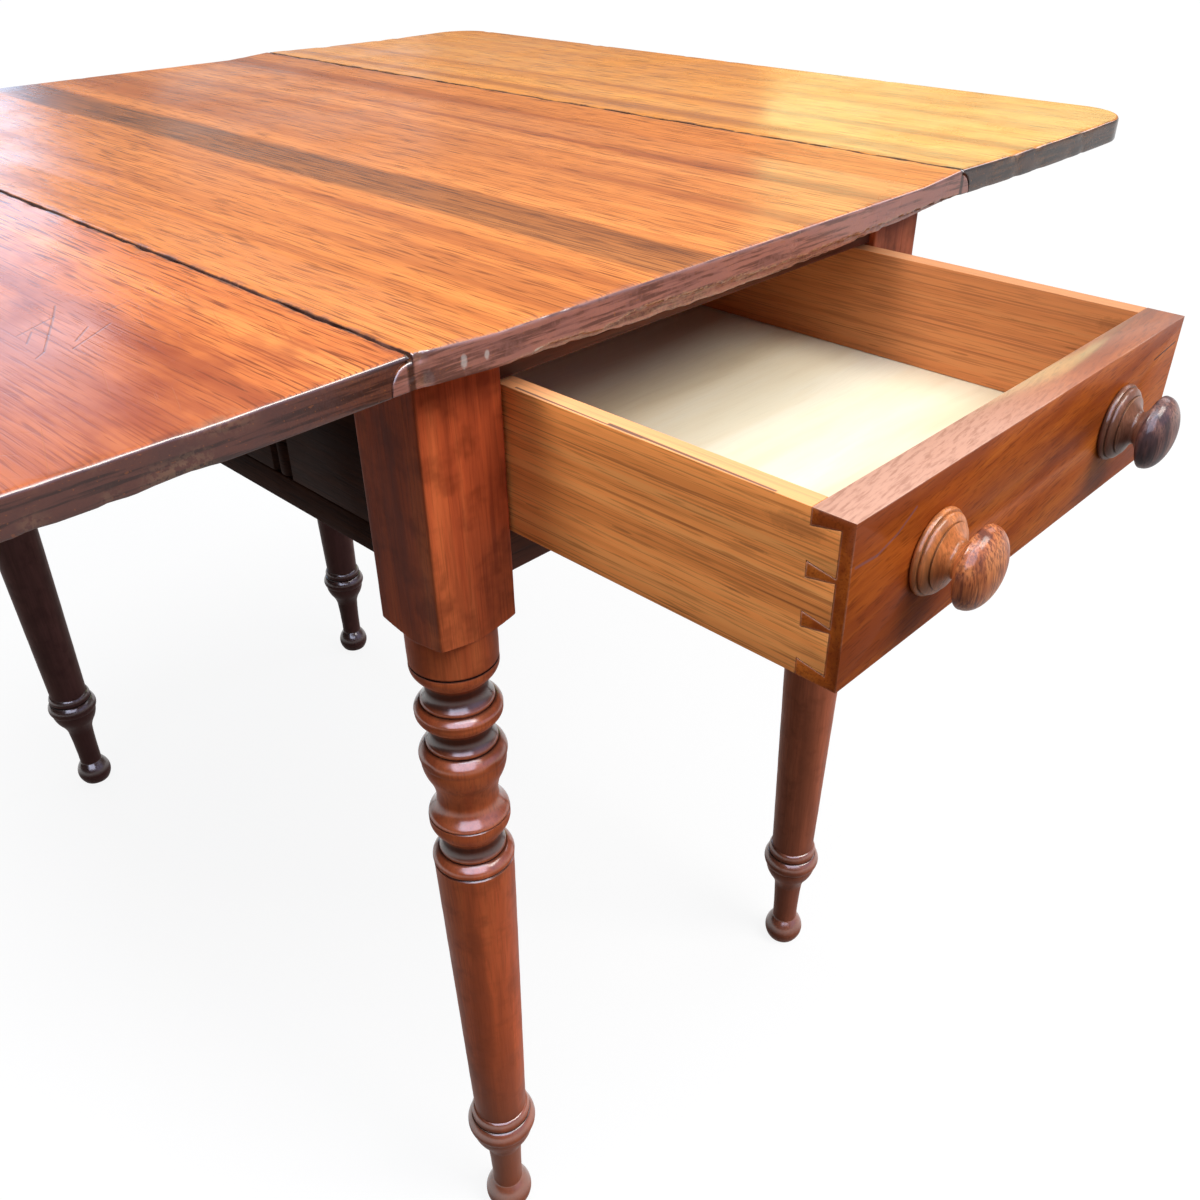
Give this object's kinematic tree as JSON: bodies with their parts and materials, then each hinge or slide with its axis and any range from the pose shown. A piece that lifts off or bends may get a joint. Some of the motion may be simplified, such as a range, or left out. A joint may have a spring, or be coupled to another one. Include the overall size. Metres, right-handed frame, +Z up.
{
  "type": "pembroke table",
  "caption": "Pembroke table: turned legs, fixed top with drop leaves on rule joints, wooden fly brackets that swing out under them, and a dovetailed end drawer with turned knobs.",
  "frame": {"origin": "on the floor, below the middle of the whole object's box with the leaves up and the drawer part open", "axes": "+Z up; +Y along the table from the drawer end to the back end; +X to the right seen from the drawer end"},
  "size_m": [0.98, 1.016, 0.722],
  "materials": {
    "polished_mahogany_top": "polished red-brown mahogany boards, worn",
    "turned_mahogany": "deep red-brown French-polished turnings",
    "frame_hardwood": "dark, dry frame wood",
    "drawer_side_wood": "honey-brown straight-grained drawer wood, waxed",
    "drawer_front_mahogany": "polished mahogany front",
    "pale_plywood": "pale unfinished plywood",
    "turned_knob_wood": "streaky turned knob, waxed",
    "old_brass": "dulled brass plate",
    "dark_steel": "darkened steel"
  },
  "bodies": {
    "frame": {"leg_front_left": "turned_mahogany", "leg_front_right": "turned_mahogany", "leg_back_left": "turned_mahogany", "leg_back_right": "turned_mahogany", "fixed_top": "polished_mahogany_top", "back_rail": "frame_hardwood", "lower_drawer_rail": "frame_hardwood", "upper_drawer_rail": "frame_hardwood", "drawer_stop": "frame_hardwood", "side_rail_left": "frame_hardwood", "side_strip_left": "frame_hardwood", "fly_block_left": "frame_hardwood", "drawer_runner_left": "frame_hardwood", "drawer_kicker_left": "frame_hardwood", "fly_pin_left": "dark_steel", "hinge_top_plate_left_front": "old_brass", "hinge_pin_left_front": "dark_steel", "hinge_screw_top_left_front_1": "dark_steel", "hinge_screw_top_left_front_2": "dark_steel", "hinge_top_plate_left_back": "old_brass", "hinge_pin_left_back": "dark_steel", "hinge_screw_top_left_back_1": "dark_steel", "hinge_screw_top_left_back_2": "dark_steel", "side_rail_right": "frame_hardwood", "side_strip_right": "frame_hardwood", "fly_block_right": "frame_hardwood", "drawer_runner_right": "frame_hardwood", "drawer_kicker_right": "frame_hardwood", "fly_pin_right": "dark_steel", "hinge_top_plate_right_front": "old_brass", "hinge_pin_right_front": "dark_steel", "hinge_screw_top_right_front_1": "dark_steel", "hinge_screw_top_right_front_2": "dark_steel", "hinge_top_plate_right_back": "old_brass", "hinge_pin_right_back": "dark_steel", "hinge_screw_top_right_back_1": "dark_steel", "hinge_screw_top_right_back_2": "dark_steel"},
    "left_leaf": {"left_leaf": "polished_mahogany_top", "hinge_leaf_plate_left_front": "old_brass", "hinge_screw_leaf_left_front_1": "dark_steel", "hinge_screw_leaf_left_front_2": "dark_steel", "hinge_leaf_plate_left_back": "old_brass", "hinge_screw_leaf_left_back_1": "dark_steel", "hinge_screw_leaf_left_back_2": "dark_steel"},
    "right_leaf": {"right_leaf": "polished_mahogany_top", "hinge_leaf_plate_right_front": "old_brass", "hinge_screw_leaf_right_front_1": "dark_steel", "hinge_screw_leaf_right_front_2": "dark_steel", "hinge_leaf_plate_right_back": "old_brass", "hinge_screw_leaf_right_back_1": "dark_steel", "hinge_screw_leaf_right_back_2": "dark_steel"},
    "left_fly_bracket": {"fly_bracket_left": "frame_hardwood"},
    "right_fly_bracket": {"fly_bracket_right": "frame_hardwood"},
    "drawer": {"drawer_side_left": "drawer_side_wood", "drawer_knob_left": "turned_knob_wood", "drawer_side_right": "drawer_side_wood", "drawer_knob_right": "turned_knob_wood", "drawer_front": "drawer_front_mahogany", "drawer_back": "drawer_side_wood", "drawer_bottom": "pale_plywood"}
  },
  "joints": [
    {"name": "drawer_slide", "type": "slide", "parent": "frame", "child": "drawer", "axis": [0, -1, 0], "range_m": [-0.195, 0.245]},
    {"name": "left_leaf_hinge", "type": "hinge", "parent": "frame", "child": "left_leaf", "pos_m": [-0.22, 0.102, 0.708], "axis": [0, 1, 0], "range_deg": [-90, 0]},
    {"name": "right_leaf_hinge", "type": "hinge", "parent": "frame", "child": "right_leaf", "pos_m": [0.22, 0.102, 0.708], "axis": [0, -1, 0], "range_deg": [-90, 0]},
    {"name": "left_fly_swing", "type": "hinge", "parent": "frame", "child": "left_fly_bracket", "pos_m": [-0.1835, -0.131, 0.66], "axis": [0, 0, -1], "range_deg": [0, 90]},
    {"name": "right_fly_swing", "type": "hinge", "parent": "frame", "child": "right_fly_bracket", "pos_m": [0.1835, -0.131, 0.66], "axis": [0, 0, 1], "range_deg": [0, 90]}
  ]
}
